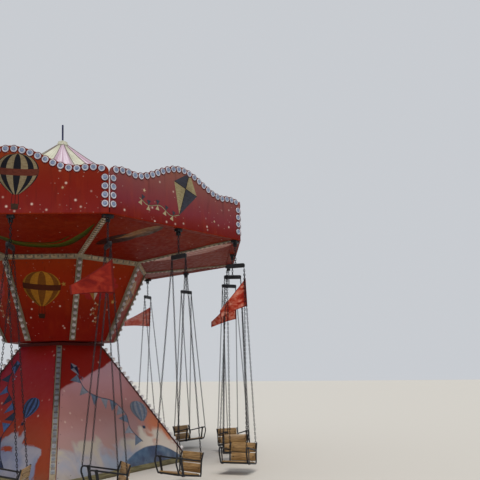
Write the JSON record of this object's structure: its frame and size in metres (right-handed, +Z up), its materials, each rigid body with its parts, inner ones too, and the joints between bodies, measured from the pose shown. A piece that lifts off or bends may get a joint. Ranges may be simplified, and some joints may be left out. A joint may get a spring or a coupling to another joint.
{
  "type": "chair swing ride",
  "caption": "Chair swing ride: pyramid base, turning eight-sided head with scalloped lamp-edged crown boards and tent roof, wooden chairs on chains.",
  "frame": {"origin": "on the ground under the slewing axis, at the foot of the column", "axes": "+Z up along the slewing axis, X and Y square to the sides of the pyramid base"},
  "size_m": [7.439, 7.2894, 6.248],
  "materials": {
    "plinth_timber": "painted plywood skirt over a steel ground frame, scuffed and dusty",
    "landscape_paint": "airbrushed satin sky and hills in red, pink, lavender and grey-blue",
    "cream_strip": "cream lamp strip with whitish cabochon lamps",
    "navy_steel": "navy painted steel tube",
    "dark_steel": "dark grey paint and dull chain steel",
    "red_paint": "airbrushed orange-red to dark red with small white stars",
    "dark_red_paint": "satin dark red with airbrushed ribbons",
    "crimson_paint": "airbrushed red-brown to crimson with small white stars, edged with lamps",
    "cream_tarpaulin": "coated tarpaulin in cream and faded pink gores, wrinkled",
    "seat_wood": "varnished yellow-brown plywood, worn at the edges",
    "red_cloth": "light orange-red flag cloth with a sewn hem"
  },
  "bodies": {
    "base": {"ground_frame": "plinth_timber", "base_panel_right": "landscape_paint", "base_panel_back": "landscape_paint", "base_panel_left": "landscape_paint", "base_panel_front": "landscape_paint", "base_light_strips": "cream_strip"},
    "head": {"centre_pole": "navy_steel", "sweep_frame": "dark_steel", "drum_shell": "red_paint", "soffit_shell": "dark_red_paint", "head_light_strips": "cream_strip", "tent_roof": "cream_tarpaulin", "crown_board_1": "crimson_paint", "crown_board_2": "crimson_paint", "crown_board_3": "crimson_paint", "crown_board_4": "crimson_paint", "crown_board_5": "crimson_paint", "crown_board_6": "crimson_paint", "crown_board_7": "crimson_paint", "crown_board_8": "crimson_paint"},
    "swing_01": {"swing_01_hanger": "dark_steel", "swing_01_seat": "seat_wood", "swing_01_pennant": "red_cloth"},
    "swing_02": {"swing_02_hanger": "dark_steel", "swing_02_seat": "seat_wood"},
    "swing_03": {"swing_03_hanger": "dark_steel", "swing_03_seat": "seat_wood", "swing_03_pennant": "red_cloth"},
    "swing_04": {"swing_04_hanger": "dark_steel", "swing_04_seat": "seat_wood"},
    "swing_05": {"swing_05_hanger": "dark_steel", "swing_05_seat": "seat_wood", "swing_05_pennant": "red_cloth"},
    "swing_06": {"swing_06_hanger": "dark_steel", "swing_06_seat": "seat_wood"},
    "swing_07": {"swing_07_hanger": "dark_steel", "swing_07_seat": "seat_wood", "swing_07_pennant": "red_cloth"},
    "swing_08": {"swing_08_hanger": "dark_steel", "swing_08_seat": "seat_wood"},
    "swing_09": {"swing_09_hanger": "dark_steel", "swing_09_seat": "seat_wood", "swing_09_pennant": "red_cloth"},
    "swing_10": {"swing_10_hanger": "dark_steel", "swing_10_seat": "seat_wood"},
    "swing_11": {"swing_11_hanger": "dark_steel", "swing_11_seat": "seat_wood", "swing_11_pennant": "red_cloth"},
    "swing_12": {"swing_12_hanger": "dark_steel", "swing_12_seat": "seat_wood"},
    "swing_13": {"swing_13_hanger": "dark_steel", "swing_13_seat": "seat_wood", "swing_13_pennant": "red_cloth"},
    "swing_14": {"swing_14_hanger": "dark_steel", "swing_14_seat": "seat_wood"},
    "swing_15": {"swing_15_hanger": "dark_steel", "swing_15_seat": "seat_wood", "swing_15_pennant": "red_cloth"},
    "swing_16": {"swing_16_hanger": "dark_steel", "swing_16_seat": "seat_wood"}
  },
  "joints": [
    {"name": "head_spin", "type": "hinge", "parent": "base", "child": "head", "pos_m": [0, 0, 2.185], "axis": [0, 0, -1], "continuous": true},
    {"name": "swing_01_out", "type": "hinge", "parent": "head", "child": "swing_01", "pos_m": [2.85329, -1.75535, 3.7], "axis": [-0.524, -0.8517, 0], "range_deg": [-10, 45]},
    {"name": "swing_02_out", "type": "hinge", "parent": "head", "child": "swing_02", "pos_m": [3.06888, -0.49156, 3.7], "axis": [-0.1582, -0.9874, 0], "range_deg": [-10, 45]},
    {"name": "swing_03_out", "type": "hinge", "parent": "head", "child": "swing_03", "pos_m": [3.2588, 0.77636, 3.7], "axis": [0.2317, -0.9728, 0], "range_deg": [-10, 45]},
    {"name": "swing_04_out", "type": "hinge", "parent": "head", "child": "swing_04", "pos_m": [2.51761, 1.82245, 3.7], "axis": [0.5864, -0.81, 0], "range_deg": [-10, 45]},
    {"name": "swing_05_out", "type": "hinge", "parent": "head", "child": "swing_05", "pos_m": [1.75535, 2.85329, 3.7], "axis": [0.8517, -0.524, 0], "range_deg": [-10, 45]},
    {"name": "swing_06_out", "type": "hinge", "parent": "head", "child": "swing_06", "pos_m": [0.49156, 3.06888, 3.7], "axis": [0.9874, -0.1582, 0], "range_deg": [-10, 45]},
    {"name": "swing_07_out", "type": "hinge", "parent": "head", "child": "swing_07", "pos_m": [-0.77636, 3.2588, 3.7], "axis": [0.9728, 0.2317, 0], "range_deg": [-10, 45]},
    {"name": "swing_08_out", "type": "hinge", "parent": "head", "child": "swing_08", "pos_m": [-1.82245, 2.51761, 3.7], "axis": [0.81, 0.5864, 0], "range_deg": [-10, 45]},
    {"name": "swing_09_out", "type": "hinge", "parent": "head", "child": "swing_09", "pos_m": [-2.85329, 1.75535, 3.7], "axis": [0.524, 0.8517, 0], "range_deg": [-10, 45]},
    {"name": "swing_10_out", "type": "hinge", "parent": "head", "child": "swing_10", "pos_m": [-3.06888, 0.49156, 3.7], "axis": [0.1582, 0.9874, 0], "range_deg": [-10, 45]},
    {"name": "swing_11_out", "type": "hinge", "parent": "head", "child": "swing_11", "pos_m": [-3.2588, -0.77636, 3.7], "axis": [-0.2317, 0.9728, 0], "range_deg": [-10, 45]},
    {"name": "swing_12_out", "type": "hinge", "parent": "head", "child": "swing_12", "pos_m": [-2.51761, -1.82245, 3.7], "axis": [-0.5864, 0.81, 0], "range_deg": [-10, 45]},
    {"name": "swing_13_out", "type": "hinge", "parent": "head", "child": "swing_13", "pos_m": [-1.75535, -2.85329, 3.7], "axis": [-0.8517, 0.524, 0], "range_deg": [-10, 45]},
    {"name": "swing_14_out", "type": "hinge", "parent": "head", "child": "swing_14", "pos_m": [-0.49156, -3.06888, 3.7], "axis": [-0.9874, 0.1582, 0], "range_deg": [-10, 45]},
    {"name": "swing_15_out", "type": "hinge", "parent": "head", "child": "swing_15", "pos_m": [0.77636, -3.2588, 3.7], "axis": [-0.9728, -0.2317, 0], "range_deg": [-10, 45]},
    {"name": "swing_16_out", "type": "hinge", "parent": "head", "child": "swing_16", "pos_m": [1.82245, -2.51761, 3.7], "axis": [-0.81, -0.5864, 0], "range_deg": [-10, 45]}
  ]
}
